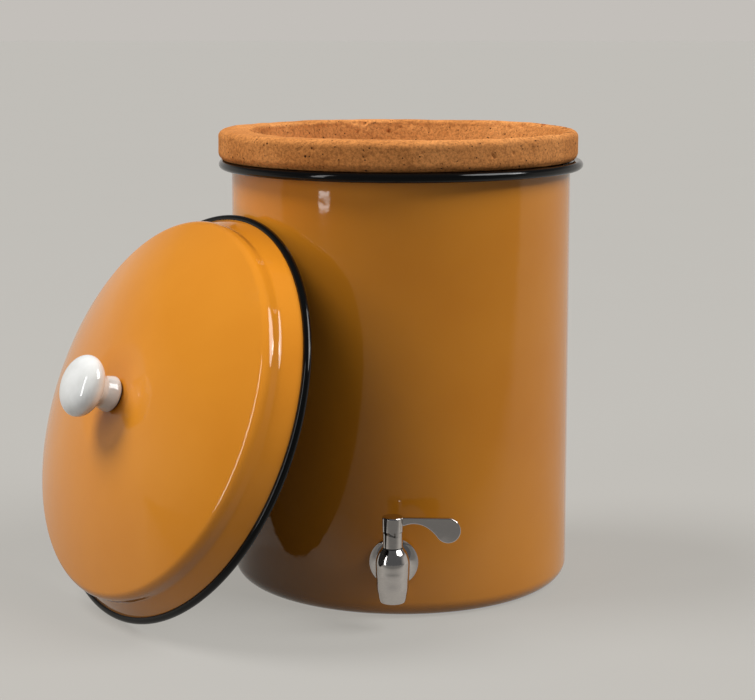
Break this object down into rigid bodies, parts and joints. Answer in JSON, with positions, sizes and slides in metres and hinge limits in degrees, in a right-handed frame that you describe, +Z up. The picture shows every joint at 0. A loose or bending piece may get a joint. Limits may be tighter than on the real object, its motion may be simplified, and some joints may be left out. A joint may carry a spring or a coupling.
{
  "type": "gravity water filter with tap",
  "caption": "Enamelled steel water filter with a clay filter pot hung in its mouth, a lever tap low on the front, and a domed lid with a knob leaning beside it.",
  "frame": {"origin": "centre of the receptacle's base disc, on the surface it stands on", "axes": "+Z up, the tap points along -Y, the lever lies along +X when shut, the lid leans on the -X side"},
  "size_m": [0.4794, 0.4278, 0.4013],
  "materials": {
    "enamel": "gloss vitreous enamel on steel, black on the rolled edge",
    "clay": "unglazed porous clay",
    "porcelain": "white glazed porcelain",
    "polished_steel": "polished stainless steel",
    "steel": "plain stainless steel",
    "brass": "turned brass",
    "silicone": "food-grade silicone",
    "rubber": "black rubber"
  },
  "bodies": {
    "receptacle": {"receptacle_shell": "enamel", "tap_body": "polished_steel", "tap_outer_seal": "silicone", "tap_inner_seal": "silicone", "tap_inner_washer": "steel", "tap_nut": "steel", "tap_bonnet": "polished_steel", "bonnet_gasket": "rubber", "stem_o_rings": "rubber", "valve_spring": "steel"},
    "filter": {"clay_filter_pot": "clay"},
    "lid": {"lid_shell": "enamel", "lid_knob": "porcelain", "knob_insert": "brass", "knob_gasket": "rubber", "knob_washer": "steel", "knob_screw": "steel"},
    "plug": {"valve_plug": "silicone"},
    "lever": {"tap_lever": "polished_steel", "lever_grub_screw": "steel", "valve_stem": "steel"}
  },
  "joints": [
    {"name": "lid_pull_off", "type": "slide", "parent": "receptacle", "child": "lid", "axis": [-0.7277, -0.5788, 0.3681], "range_m": [0, 0.25]},
    {"name": "filter_lift_out", "type": "slide", "parent": "receptacle", "child": "filter", "axis": [0, 0, 1], "range_m": [0, 0.28]},
    {"name": "plug_lift", "type": "slide", "parent": "receptacle", "child": "plug", "axis": [0, 0, 1], "range_m": [0, 0.003], "deforming": ["valve_spring"]},
    {"name": "lever_turn", "type": "hinge", "parent": "plug", "child": "lever", "pos_m": [0, -0.1785, 0.09], "axis": [0, 0, -1], "range_deg": [0, 90]}
  ],
  "couplings": [
    {"joint": "plug_lift", "follows": "lever_turn", "m_per_rad": 0.0019}
  ]
}
